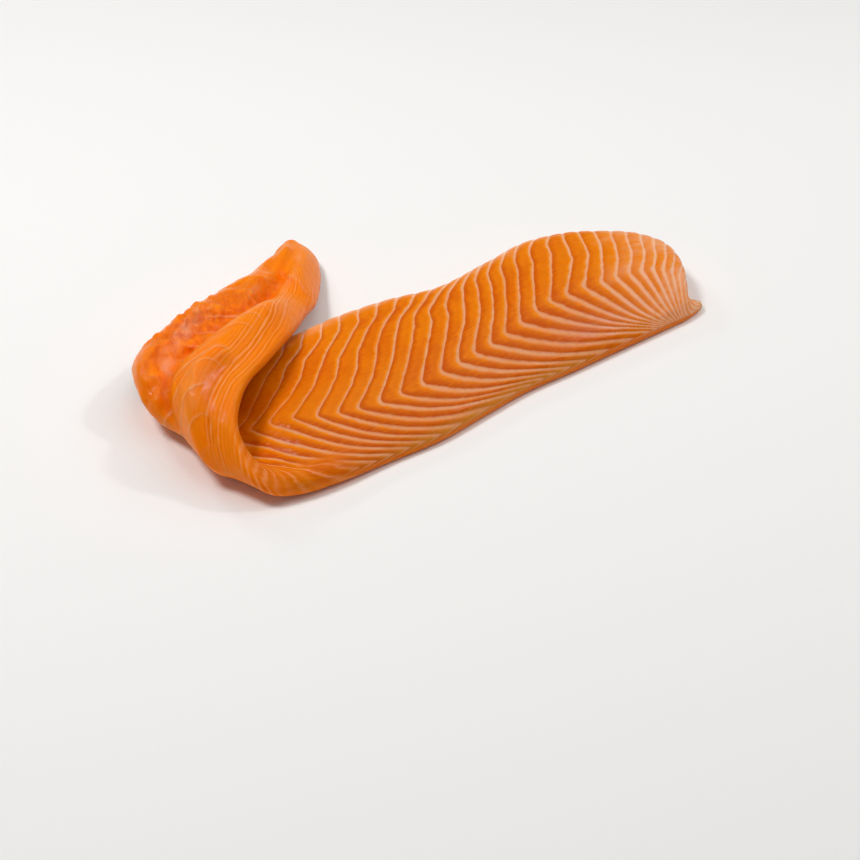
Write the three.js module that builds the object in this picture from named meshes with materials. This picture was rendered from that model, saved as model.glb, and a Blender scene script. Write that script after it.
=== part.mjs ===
// A raw salmon fillet in one piece, skinned and trimmed. Its thick end lies flat with the flesh side up,
// and the tail is folded up and over it, so that the lean skin side of the tail shows on top.
// Millimetres, +Z up. X runs along the body from the fold (-X) to the thick end (+X), and +Y is the back.
import * as THREE from 'three';

// The fillet is a sheet of flesh. Stations count the way along it, from the thick end to the tail's tip,
// and a rail follows each of its two long edges. A row is a station and the point in the middle of the edge.
const BELLY_RAIL = [
  [0, 157, -47, 5], [6, 155, -51, 4.5], [14, 147, -53.5, 4], [26, 135, -54.5, 4], [66, 96, -55.5, 4],
  [100, 62, -56.5, 4], [135, 27, -57, 4], [160, 0, -60.5, 4], [190, -30, -64.5, 4], [220, -60, -64, 4],
  [254, -94, -64, 4], [273, -111, -62, 5], [285, -122, -58, 10], [296, -128, -50, 17],
  [307, -129, -39, 25], [319, -126, -27, 32], [331, -117, -15.5, 36.5], [344, -107, -7, 38],
  [357, -95, 0, 38], [370, -83, 9, 36], [384, -71, 19.5, 32], [402, -58, 33, 26], [418, -46, 46.5, 20],
  [436, -34, 58, 15], [458, -20, 78, 9], [478, -9.5, 96, 6], [493, -4.5, 110, 5], [504, -6, 123, 5],
];
const BACK_RAIL = [
  [0, 158, -40, 5], [6, 158, -30, 6], [14, 163.5, -13, 8], [22, 169.5, 3, 9.5], [32, 161, 20, 10],
  [46, 135, 33.5, 10],
  [66, 103, 42, 10], [100, 64, 38, 10], [135, 27, 34, 9.5], [160, 0, 40, 9], [190, -32, 42, 9],
  [220, -62, 40.5, 9], [254, -98, 41, 8], [273, -120, 41.5, 7], [285, -133, 42, 7], [296, -141, 45, 9],
  [307, -144, 51, 12], [319, -144, 59, 13], [331, -139, 67, 12], [344, -131, 73.5, 9.5],
  [357, -122, 80, 7], [370, -111, 86, 5.5], [384, -99, 91, 4.5], [402, -85, 98, 4], [418, -71, 103, 4],
  [436, -55, 109, 4], [458, -40, 117, 4], [478, -28, 123, 4.5], [493, -21, 129, 5], [504, -17, 131, 5],
];
// The way that the skin side faces: down under the body, out round the fold and up on the folded tail.
const SKIN_FACING = [
  [0, 0, 0, -1], [262, 0, 0, -1], [273, -0.2, -0.1, -1], [285, -0.75, -0.4, -0.6], [296, -0.9, -0.45, 0],
  [307, -0.78, -0.3, 0.55], [319, -0.42, -0.1, 0.9], [331, -0.15, 0, 1], [344, 0, 0, 1], [504, 0, 0, 1],
];
const SHEET_LENGTH = 504;
const FOLD_START = 262;

// Forms of the folded tail, each a station and a height in millimetres: the arch over the whole width, the
// long hump beside the belly edge and the ridge beside the back edge, with the valley between the two.
// The hump's middle and reach are shares of the way from the belly edge to the valley, and the ridge's are
// shares of the way from there to the back edge.
const ARCH = [[0, 0], [262, 0], [273, 1], [285, 3], [296, 5], [319, 3.5], [370, 6], [402, 7], [436, 7],
  [478, 6], [504, 3]];
const HUMP = [[0, 0], [273, 0], [285, 2], [307, 6], [319, 9], [344, 9.5], [370, 10], [390, 9], [408, 5],
  [425, 1.5], [440, 3.5], [460, 4], [480, 2.5], [504, 0]];
const RIDGE = [[0, 0], [273, 0], [285, 2], [307, 7], [319, 9], [344, 12], [370, 13.5], [402, 11], [436, 7],
  [480, 3], [504, 0]];
const VALLEY_SHARE = [[0, 0.6], [331, 0.6], [357, 0.55], [384, 0.47], [410, 0.4], [430, 0.4], [450, 0.5],
  [504, 0.5]];
const HUMP_MIDDLE = 0.53;
const HUMP_REACH = 0.52;
const RIDGE_MIDDLE = 0.5;
const RIDGE_REACH = 0.58;

// Thickness of the flesh at each station, and of its two long edges.
const THICKNESS = [[0, 7.5], [6, 10], [14, 16], [26, 22], [44, 25], [66, 26.5], [100, 26], [160, 24],
  [190, 24], [220, 23], [254, 20], [273, 15], [296, 12], [344, 12], [402, 11], [458, 10], [504, 8]];
const BELLY_EDGE_HALF = 4;
const BACK_EDGE_HALF = [[0, 4.5], [6, 6], [14, 8], [26, 10], [66, 10], [160, 9], [220, 9], [254, 8], [273, 7],
  [296, 5], [344, 4], [504, 4]];
const CROWN_SHARE = 0.55;        // share of the width over which the flesh thickens from the belly edge
const SETTLE = 0.5;              // how far the soft underside settles flat under its own weight
const BACK_FALL = 0.06;          // how much of the thickness is lost again towards the back
const FALL_SHARE = 0.6;          // share of the width from which it is lost
const EDGE_ROUND = { skinBelly: 5, skinBack: 8, fleshBelly: 6, bodyBack: 16, tailBack: 8 };
const FOLD_BLEND = 30;           // stations over which the body's round back edge becomes the tail's thin one

// Flakes: the flesh stands up a little between the white chevrons. Their points lie at POINT_SHARE, and their
// arms sweep back towards the thick end: in a curve to the belly edge, and straight to the back edge.
const FLAKE_PITCH = 12;
const FLAKE_DEPTH = 0.6;
const POINT_SHARE = 0.3;
const BELLY_SWEEP = 37;
const BELLY_CURVE = 1.8;
const BACK_SWEEP = 48;

const BODY_ROWS = 78;
const TAIL_ROWS = 48;
const COLUMNS = 20;
const EVEN_SHARE = 0.4;          // columns are this evenly spaced, and otherwise close up towards the edges

const clamp01 = (x) => Math.min(1, Math.max(0, x));
const bell = (x) => 0.5 + 0.5 * Math.cos(Math.PI * Math.min(1, Math.abs(x)));

// Height of a quarter ellipse of this reach, as a share of its full height.
function rounding(distance, reach) {
  return Math.sqrt(1 - (1 - clamp01(distance / reach)) ** 2);
}

// Cubic through the rows of a table at a station; slopeAt gives the slope at a row from those beside it.
function readTable(table, station, slopeAt) {
  let row = 0;
  while (row < table.length - 2 && station >= table[row + 1][0]) row += 1;
  const [from, to] = [table[row], table[row + 1]];
  const step = to[0] - from[0];
  const t = clamp01((station - from[0]) / step);
  return from.slice(1).map((value, k) => {
    const [leave, arrive] = [slopeAt(table, row, k + 1) * step, slopeAt(table, row + 1, k + 1) * step];
    const rise = to[k + 1] - value;
    return value + t * leave + t * t * (3 * rise - 2 * leave - arrive) + t ** 3 * (leave + arrive - 2 * rise);
  });
}

function slopes(table, row, k) {
  const between = (i) => (table[i + 1][k] - table[i][k]) / (table[i + 1][0] - table[i][0]);
  return [between(Math.max(row - 1, 0)), between(Math.min(row, table.length - 2))];
}

// A rail runs smoothly through its points.
function railSlope(table, row, k) {
  const [before, after] = slopes(table, row, k);
  if (row === 0 || row === table.length - 1) return row === 0 ? after : before;
  const [back, ahead] = [table[row][0] - table[row - 1][0], table[row + 1][0] - table[row][0]];
  return (before * ahead + after * back) / (back + ahead);
}

// A size never swings past its rows: it is level at the ends and wherever it turns.
function sizeSlope(table, row, k) {
  const [before, after] = slopes(table, row, k);
  const level = row === 0 || row === table.length - 1 || before * after <= 0;
  return level ? 0 : (2 * before * after) / (before + after);
}

const railPoint = (rail, station) => new THREE.Vector3(...readTable(rail, station, railSlope));
const size = (table, station) => readTable(table, station, sizeSlope)[0];
const skinFacing = (station) => new THREE.Vector3(...readTable(SKIN_FACING, station, sizeSlope)).normalize();

// Height of the bulges of the folded tail, at a station and a share of the width from the belly edge.
function bulge(station, share) {
  const valley = size(VALLEY_SHARE, station);
  const hump = size(HUMP, station) * bell((share / valley - HUMP_MIDDLE) / HUMP_REACH);
  const pastValley = (share - valley) / (1 - valley);
  const ridge = size(RIDGE, station) * bell((pastValley - RIDGE_MIDDLE) / RIDGE_REACH);
  return size(ARCH, station) * Math.sin(Math.PI * share) + hump + ridge;
}

// Relief of the flakes on the body, which fades where the chevrons run together at the edges.
function flakeRelief(station, share) {
  const below = clamp01((POINT_SHARE - share) / POINT_SHARE);
  const above = clamp01((share - POINT_SHARE) / (1 - POINT_SHARE));
  const line = station + BELLY_SWEEP * below ** BELLY_CURVE + BACK_SWEEP * above;
  const fade = Math.sin(Math.PI * share) * clamp01((FOLD_START - station) / FOLD_BLEND);
  return FLAKE_DEPTH * fade * (0.5 - 0.5 * Math.cos((2 * Math.PI * line) / FLAKE_PITCH));
}

// The points of the skin side and of the flesh side at a station and a share of the width.
function sheetPoints(station, share) {
  const belly = railPoint(BELLY_RAIL, station);
  const back = railPoint(BACK_RAIL, station);
  const facing = skinFacing(station);
  const width = belly.distanceTo(back);
  const [fromBelly, fromBack] = [share * width, (1 - share) * width];
  const middle = belly.lerp(back, share);

  const halfEdge = THREE.MathUtils.lerp(BELLY_EDGE_HALF, size(BACK_EDGE_HALF, station), share);
  const onBody = clamp01((FOLD_START + FOLD_BLEND / 2 - station) / FOLD_BLEND);
  const backReach = THREE.MathUtils.lerp(EDGE_ROUND.tailBack, EDGE_ROUND.bodyBack, onBody);
  const skinRound = rounding(fromBelly, EDGE_ROUND.skinBelly) * rounding(fromBack, EDGE_ROUND.skinBack);
  const fleshRound = rounding(fromBelly, EDGE_ROUND.fleshBelly) * rounding(fromBack, backReach);

  const crown = 1 - (1 - clamp01(share / CROWN_SHARE)) ** 2;
  const fall = 1 - BACK_FALL * clamp01((share - FALL_SHARE) / (1 - FALL_SHARE)) ** 2;
  const edge = 2 * BELLY_EDGE_HALF;
  const thickness = (edge + (size(THICKNESS, station) - edge) * crown) * fall;
  const lift = bulge(station, share);

  const skin = middle.clone().addScaledVector(facing, lift + halfEdge * skinRound);
  const depth = (thickness - halfEdge) * fleshRound - flakeRelief(station, share);
  const flesh = middle.addScaledVector(facing, lift - depth);
  for (const point of [skin, flesh]) point.z = Math.max(0, point.z - SETTLE);
  return [skin, flesh];
}

function stations() {
  const body = Array.from({ length: BODY_ROWS }, (_, i) => (FOLD_START * i) / BODY_ROWS);
  const tail = Array.from({ length: TAIL_ROWS + 1 },
    (_, i) => FOLD_START + ((SHEET_LENGTH - FOLD_START) * i) / TAIL_ROWS);
  return [...body, ...tail];
}

function shares() {
  return Array.from({ length: COLUMNS }, (_, j) => {
    const even = j / (COLUMNS - 1);
    return EVEN_SHARE * even + (1 - EVEN_SHARE) * bell(1 - even);
  });
}

// One ring of points round the sheet: over the skin side to the back edge and home over the flesh side.
function ring(station) {
  const pairs = shares().map((share) => sheetPoints(station, share));
  const skin = pairs.map((pair) => pair[0]);
  const flesh = pairs.map((pair) => pair[1]).slice(1, -1).reverse();
  return [...skin, ...flesh];
}

// The closed solid: rings joined by quads, and a fan over each end.
function filletGeometry() {
  const rings = stations().map(ring);
  const around = rings[0].length;
  const points = rings.flat();
  const faces = [];
  for (let i = 0; i < rings.length - 1; i += 1) {
    for (let j = 0; j < around; j += 1) {
      const [a, b] = [i * around + j, i * around + ((j + 1) % around)];
      faces.push(a, b + around, b, a, a + around, b + around);
    }
  }
  const addEnd = (first, headEnd) => {
    const centre = new THREE.Vector3();
    for (let j = 0; j < around; j += 1) centre.addScaledVector(points[first + j], 1 / around);
    points.push(centre);
    for (let j = 0; j < around; j += 1) {
      const [a, b] = [first + j, first + ((j + 1) % around)];
      faces.push(points.length - 1, ...(headEnd ? [a, b] : [b, a]));
    }
  };
  addEnd(0, true);
  addEnd((rings.length - 1) * around, false);

  const geometry = new THREE.BufferGeometry().setFromPoints(points);
  geometry.setIndex(faces);
  geometry.computeBoundingBox();
  const box = geometry.boundingBox;
  geometry.translate(-(box.min.x + box.max.x) / 2, -(box.min.y + box.max.y) / 2, -box.min.z);
  geometry.computeVertexNormals();
  return geometry;
}

const rawSalmon = new THREE.MeshStandardMaterial({ color: 0xf0823c, roughness: 0.35, metalness: 0 });
const fillet = new THREE.Mesh(filletGeometry(), rawSalmon);
fillet.name = 'fillet';

const salmonFillet = new THREE.Group();
salmonFillet.add(fillet);
export default salmonFillet;
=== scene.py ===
"""A raw salmon fillet in one piece, skinned and trimmed, with its thin tail folded up and back over it.

The fillet is a sheet of flesh. Stations count the millimetres along it, from the thick end to the tail's
tip, and shares count across it, from 0 at the belly edge to 1 at the back edge. Every length in a class
below is in millimetres unless its name says otherwise, and the meshes are made in metres.
"""

from __future__ import annotations

import logging
import math
from collections.abc import Callable
from dataclasses import dataclass, field
from enum import Enum
from functools import partial
from typing import Any

import bpy
import numpy as np
from mathutils import Matrix, Quaternion, Vector

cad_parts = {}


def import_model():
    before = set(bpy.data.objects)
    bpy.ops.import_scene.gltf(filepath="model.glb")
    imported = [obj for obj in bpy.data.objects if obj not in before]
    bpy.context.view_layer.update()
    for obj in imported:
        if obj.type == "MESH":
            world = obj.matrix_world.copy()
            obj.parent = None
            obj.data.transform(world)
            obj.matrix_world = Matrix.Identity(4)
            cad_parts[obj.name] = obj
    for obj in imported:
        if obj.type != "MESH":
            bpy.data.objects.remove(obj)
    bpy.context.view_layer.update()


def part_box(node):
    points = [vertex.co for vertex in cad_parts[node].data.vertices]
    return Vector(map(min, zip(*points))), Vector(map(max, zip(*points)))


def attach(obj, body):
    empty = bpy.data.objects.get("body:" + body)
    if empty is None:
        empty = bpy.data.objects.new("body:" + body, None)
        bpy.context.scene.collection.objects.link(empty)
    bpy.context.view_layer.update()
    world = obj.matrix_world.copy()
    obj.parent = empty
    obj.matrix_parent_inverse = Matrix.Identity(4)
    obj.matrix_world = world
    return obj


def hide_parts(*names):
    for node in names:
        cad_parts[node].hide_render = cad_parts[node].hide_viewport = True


LOG = logging.getLogger("salmon_fillet")
MM = 0.001

Rows = tuple[tuple[float, ...], ...]
Span = tuple[float, float]
MakeNode = Callable[..., bpy.types.Node]
Masks = dict[str, Any]

# Ranges that many map range nodes share, and their soft course.
RISING: Span = (0.0, 1.0)
FALLING: Span = (1.0, 0.0)
SOFT = {"interpolation_type": "SMOOTHSTEP"}


class Side(Enum):
    """The two sides of the sheet of flesh, and how much of each is the skinned side."""

    FLESH = 0.0
    SKINNED = 1.0


class Course(Enum):
    """How a table of sizes runs between its rows."""

    SWEEPING = "runs smoothly through every row, as an edge in space does"
    LEVEL = "never swings past its rows, as a thickness does"


def linear_colour(srgb_hex: str) -> tuple[float, float, float, float]:
    """Turns an sRGB colour into the linear one that shaders use.

    Args:
        srgb_hex: The colour as "#rrggbb".

    Returns:
        Red, green, blue and alpha in linear light.
    """
    parts = [int(srgb_hex[i : i + 2], 16) / 255 for i in (1, 3, 5)]
    linear = [p / 12.92 if p <= 0.04045 else ((p + 0.055) / 1.055) ** 2.4 for p in parts]
    return (*linear, 1.0)


def add_node(
    tree: bpy.types.NodeTree, kind: str, inputs: tuple | dict[str, Any] = (), **settings: Any
) -> bpy.types.Node:
    """Adds a node to a tree, sets it up and links what feeds it.

    Args:
        tree: The shader or geometry tree.
        kind: The node's type, such as "ShaderNodeMath".
        inputs: What goes into its sockets: a value, a socket, or a node whose first output in use is meant.
            A tuple fills the sockets that the settings leave in use, in order, and a dict names its sockets.
        settings: The node's own properties.

    Returns:
        The new node.
    """
    node = tree.nodes.new(kind)
    for name, value in settings.items():
        setattr(node, name, value)
    if isinstance(inputs, dict):
        fed = [(node.inputs[name], value) for name, value in inputs.items()]
    else:
        fed = zip([socket for socket in node.inputs if socket.enabled], inputs)
    for socket, value in fed:
        if isinstance(value, bpy.types.Node):
            value = next(output for output in value.outputs if output.enabled)
        if isinstance(value, bpy.types.NodeSocket):
            tree.links.new(value, socket)
        else:
            socket.default_value = value
    return node


def clamp01(values: np.ndarray | float) -> np.ndarray:
    """Keeps values between 0 and 1."""
    return np.clip(values, 0.0, 1.0)


def ramp(values: np.ndarray, start: float, full: float) -> np.ndarray:
    """Runs from 0 at the start to 1 at the full value, whichever of them is the greater."""
    return clamp01((values - start) / (full - start))


def bell(values: np.ndarray) -> np.ndarray:
    """A smooth hill: 1 at 0, falling to 0 at 1 and -1."""
    return 0.5 + 0.5 * np.cos(np.pi * np.minimum(1, np.abs(values)))


def rounding(distance: np.ndarray, reach: np.ndarray | float) -> np.ndarray:
    """Height of a quarter ellipse of this reach, as a share of its full height."""
    return np.sqrt(np.maximum(0, 1 - (1 - clamp01(distance / reach)) ** 2))


@dataclass(frozen=True)
class SizeTable:
    """Sizes given at a few stations, with a cubic course between them."""

    rows: Rows
    course: Course = Course.LEVEL

    def slopes(self, steps: np.ndarray, between: np.ndarray) -> np.ndarray:
        """Slopes of the course at the rows.

        Args:
            steps: Distances from each row to the next.
            between: Straight slopes from each row to the next.

        Returns:
            The slope at each row.
        """
        before, after = between[:-1], between[1:]
        if self.course is Course.SWEEPING:
            inner = (before * steps[1:] + after * steps[:-1]) / (steps[1:] + steps[:-1])
            return np.concatenate([between[:1], inner, between[-1:]])
        same_way = before * after > 0
        total = np.where(same_way, before + after, 1.0)
        inner = np.where(same_way, 2 * before * after / total, 0.0)
        return np.concatenate([between[:1] * 0, inner, between[-1:] * 0])

    def at(self, stations: np.ndarray) -> np.ndarray:
        """Reads the table.

        Args:
            stations: Any array of stations.

        Returns:
            The sizes there, with one more axis when the table has several columns.
        """
        table = np.array(self.rows, float)
        keys, values = table[:, 0], table[:, 1:]
        steps = np.diff(keys)[:, None]
        slopes = self.slopes(steps, np.diff(values, axis=0) / steps)
        wanted = np.clip(np.asarray(stations, float), keys[0], keys[-1])
        row = np.clip(np.searchsorted(keys, wanted, side="right") - 1, 0, len(keys) - 2)
        step = steps[row]
        t = (wanted - keys[row])[..., None] / step
        rise = values[row + 1] - values[row]
        leave, arrive = slopes[row] * step, slopes[row + 1] * step
        bend, twist = 3 * rise - 2 * leave - arrive, leave + arrive - 2 * rise
        read = values[row] + t * leave + t**2 * bend + t**3 * twist
        return read[..., 0] if values.shape[1] == 1 else read


@dataclass(frozen=True)
class Tuck:
    """A soft crest of the folded tail between two places, or a crease where its height is below zero."""

    from_station: float
    from_share: float
    to_station: float
    to_share: float
    half_width: float
    height: float

    def rise(self, station: np.ndarray, across: np.ndarray, width: np.ndarray) -> np.ndarray:
        """Height that the tuck adds.

        Args:
            station: Stations along the sheet.
            across: Distances from the belly edge, in an array of the same shape.
            width: Widths of the sheet at those stations.

        Returns:
            The rise at each point.
        """
        start_across, run_across = self.from_share * width, (self.to_share - self.from_share) * width
        run = self.to_station - self.from_station
        along = (station - self.from_station) * run + (across - start_across) * run_across
        along = clamp01(along / (run**2 + run_across**2))
        off_station = station - self.from_station - along * run
        off_across = across - start_across - along * run_across
        return self.height * bell(np.hypot(off_station, off_across) / self.half_width)


@dataclass(frozen=True)
class FoldedSheet:
    """The sheet of flesh that the fillet is, flat along the body and folded over at the tail.

    Each rail is an edge of the sheet in space: station, then x, y and z. The sheet's half thickness at an
    edge, how far its middle arches up, and the hump and the ridge of its tail are tables of stations too.
    """

    length: float = 504
    fold_start: float = 262
    belly_rail: SizeTable = SizeTable((
        (0, 157.5, -50, 3.5), (6, 153, -52, 4), (10, 146, -53.5, 4), (14, 141.5, -54, 4),
        (26, 131, -54.5, 4), (66, 96, -55.5, 4), (100, 62, -56.5, 4), (135, 27, -57, 4),
        (160, 0, -60.5, 4), (190, -30, -64.5, 4), (220, -60, -64, 4), (254, -94, -64, 6),
        (273, -111, -62, 8), (285, -122, -58, 12), (296, -128, -50, 18.5), (307, -129, -39, 25),
        (319, -126, -27, 32), (331, -117, -15.5, 36.5), (344, -107, -7, 38), (357, -95, 0, 38),
        (370, -83, 9, 36), (384, -71, 19.5, 32), (402, -58, 33, 26), (418, -46, 46.5, 20),
        (436, -34, 58, 15), (458, -20, 78, 9), (478, -9.5, 96, 6), (493, -4.5, 110, 5),
        (504, -6, 123, 5),
    ), Course.SWEEPING)
    back_rail: SizeTable = SizeTable((
        (0, 159.5, -46, 4), (3, 157, -43.5, 4.5), (6, 154, -40.5, 5), (9, 152.5, -37.5, 6.5),
        (14, 162.5, -27, 9.5), (22, 169.5, -6, 10.5), (32, 161.5, 14, 10.5), (46, 135, 33, 10),
        (66, 103, 42, 10), (100, 64, 38, 10), (135, 27, 34, 9.5), (160, 0, 40, 9),
        (190, -32, 42, 9), (220, -62, 40.5, 9), (254, -98, 41, 8), (273, -120, 41.5, 7),
        (285, -133, 42, 7), (296, -141, 45, 9), (307, -144, 51, 12), (319, -144, 59, 13),
        (331, -139, 67, 12), (344, -131, 73.5, 9.5), (357, -122, 80, 7), (370, -111, 86, 5.5),
        (384, -99, 91, 4.5), (402, -85, 98, 4), (418, -71, 103, 4), (436, -55, 109, 4),
        (458, -40, 117, 4), (478, -28, 123, 4.5), (493, -21, 129, 5), (504, -17, 131, 5),
    ), Course.SWEEPING)
    skin_facing: SizeTable = SizeTable((
        (0, 0, 0, -1), (262, 0, 0, -1), (273, -0.2, -0.1, -1), (285, -0.75, -0.4, -0.6),
        (296, -0.9, -0.45, 0), (307, -0.78, -0.3, 0.55), (319, -0.42, -0.1, 0.9),
        (331, -0.15, 0, 1), (344, 0, 0, 1), (504, 0, 0, 1),
    ))
    arch: SizeTable = SizeTable((
        (0, 0), (262, 0), (273, 1), (285, 3), (296, 5), (319, 3.5), (370, 6), (402, 7), (436, 7),
        (478, 6), (504, 3),
    ))
    hump: SizeTable = SizeTable((
        (0, 0), (273, 0), (285, 2), (307, 6), (319, 9), (344, 9.5), (370, 10), (390, 9), (408, 5),
        (425, 1.5), (440, 3.5), (460, 4), (480, 2.5), (504, 0),
    ))
    hump_middle: float = 0.53
    hump_reach: float = 0.52
    ridge: SizeTable = SizeTable((
        (0, 0), (273, 0), (285, 2), (307, 7), (319, 9), (344, 12), (370, 13.5), (402, 11), (436, 7),
        (480, 3), (504, 0),
    ))
    ridge_middle: float = 0.5
    ridge_reach: float = 0.58
    valley_share: SizeTable = SizeTable((
        (0, 0.6), (331, 0.6), (357, 0.55), (384, 0.47), (410, 0.4), (430, 0.4), (450, 0.5), (504, 0.5),
    ))
    scoop_depth: float = 3.5
    scoop_station: float = 448
    scoop_share: float = 0.6
    scoop_length: float = 26
    scoop_width_share: float = 0.3
    thickness: SizeTable = SizeTable((
        (0, 5.5), (6, 8.5), (10, 12), (14, 16.5), (26, 22.5), (44, 25), (66, 26.5), (100, 26),
        (160, 24), (190, 24), (220, 23), (254, 20), (273, 15), (296, 12), (344, 12), (402, 11),
        (458, 10), (504, 8),
    ))
    belly_edge_half: SizeTable = SizeTable((
        (0, 4), (225, 4), (262, 5.5), (280, 6), (296, 5.5), (319, 4.5), (344, 4), (504, 4),
    ))
    back_edge_half: SizeTable = SizeTable((
        (0, 4.5), (6, 6), (14, 8), (26, 10), (66, 10), (160, 9), (220, 9), (254, 8), (273, 7),
        (296, 5), (344, 4), (504, 4),
    ))
    crown_share: float = 0.55
    settle: float = 0.5
    back_fall: float = 0.06
    fall_share: float = 0.6
    skinned_belly_round: float = 5
    skinned_back_round: float = 8
    flesh_belly_round: float = 6
    body_back_round: float = 16
    tail_back_round: float = 8
    fold_blend: float = 30
    tucks: tuple[Tuck, ...] = (
        Tuck(290, 0.31, 340, 0.25, 9, 1.8),
        Tuck(306, 0.19, 340, 0.15, 4.5, -1.0),
        Tuck(300, 0.56, 322, 0.33, 4.5, -1.1),
        Tuck(322, 0.45, 343, 0.3, 4.5, -0.7),
        Tuck(340, 0.46, 358, 0.3, 4.0, -0.5),
        Tuck(318, 0.36, 342, 0.2, 7, 1.4),
        Tuck(306, 0.6, 345, 0.55, 8, -2.2),
        Tuck(345, 0.55, 415, 0.38, 7, -2.2),
        Tuck(405, 0.35, 448, 0.52, 6, -2.4),
        Tuck(432, 0.13, 443, 0.38, 3.5, 1.0),
        Tuck(398, 0.5, 478, 0.68, 7, 1.8),
        Tuck(430, 0.6, 480, 0.8, 6, -1.6),
    )

    def width(self, station: np.ndarray) -> np.ndarray:
        """Width of the sheet from edge to edge."""
        return np.linalg.norm(self.back_rail.at(station) - self.belly_rail.at(station), axis=-1)

    def past_valley(self, station: np.ndarray, share: np.ndarray) -> np.ndarray:
        """How far a point is from the tail's valley, below 0, to its back edge, at 1."""
        valley = self.valley_share.at(station)
        return (share - valley) / (1 - valley)

    def bulge(self, station: np.ndarray, share: np.ndarray) -> np.ndarray:
        """Height of the folded tail's arch, hump and ridge, less its scoop.

        Args:
            station: Stations along the sheet.
            share: Shares across it, in an array of the same shape.

        Returns:
            How far the middle of the sheet stands off its plane.
        """
        to_valley = share / self.valley_share.at(station)
        hump = self.hump.at(station) * bell((to_valley - self.hump_middle) / self.hump_reach)
        past_valley = self.past_valley(station, share)
        ridge = self.ridge.at(station) * bell((past_valley - self.ridge_middle) / self.ridge_reach)
        scoop = self.scoop_depth * bell((station - self.scoop_station) / self.scoop_length)
        scoop = scoop * bell((share - self.scoop_share) / self.scoop_width_share)
        return self.arch.at(station) * np.sin(np.pi * share) + hump + ridge - scoop

    def tucked(self, station: np.ndarray, share: np.ndarray) -> np.ndarray:
        """Rise of all the tucks of the folded tail together, at these stations and shares."""
        width = self.width(station)
        return sum(tuck.rise(station, share * width, width) for tuck in self.tucks)

    def points(self, station: np.ndarray, share: np.ndarray, side: Side) -> np.ndarray:
        """Places points on one side of the sheet.

        Args:
            station: Stations along the sheet.
            share: Shares across it, in an array of the same shape.
            side: The side that the points are on.

        Returns:
            Their places, in an array with one more axis.
        """
        belly, back = self.belly_rail.at(station), self.back_rail.at(station)
        facing = self.skin_facing.at(station)
        facing = facing / np.linalg.norm(facing, axis=-1, keepdims=True)
        width = self.width(station)
        from_belly, from_back = share * width, (1 - share) * width
        middle = belly + (back - belly) * share[..., None]
        belly_half = self.belly_edge_half.at(station)
        half_edge = belly_half + (self.back_edge_half.at(station) - belly_half) * share
        height = self.bulge(station, share)
        if side is Side.SKINNED:
            rounded = rounding(from_belly, self.skinned_belly_round)
            rounded = rounded * rounding(from_back, self.skinned_back_round)
            height = height + half_edge * rounded + self.tucked(station, share)
        else:
            on_body = clamp01((self.fold_start + self.fold_blend / 2 - station) / self.fold_blend)
            back_round = self.tail_back_round + (self.body_back_round - self.tail_back_round) * on_body
            rounded = rounding(from_belly, self.flesh_belly_round) * rounding(from_back, back_round)
            crown = 1 - (1 - clamp01(share / self.crown_share)) ** 2
            fall = 1 - self.back_fall * ramp(share, self.fall_share, 1) ** 2
            edge = 2 * belly_half
            thickness = (edge + (self.thickness.at(station) - edge) * crown) * fall
            height = height - (thickness - half_edge) * rounded
        placed = middle + facing * height[..., None]
        placed[..., 2] = np.maximum(0, placed[..., 2] - self.settle)
        return placed


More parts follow.
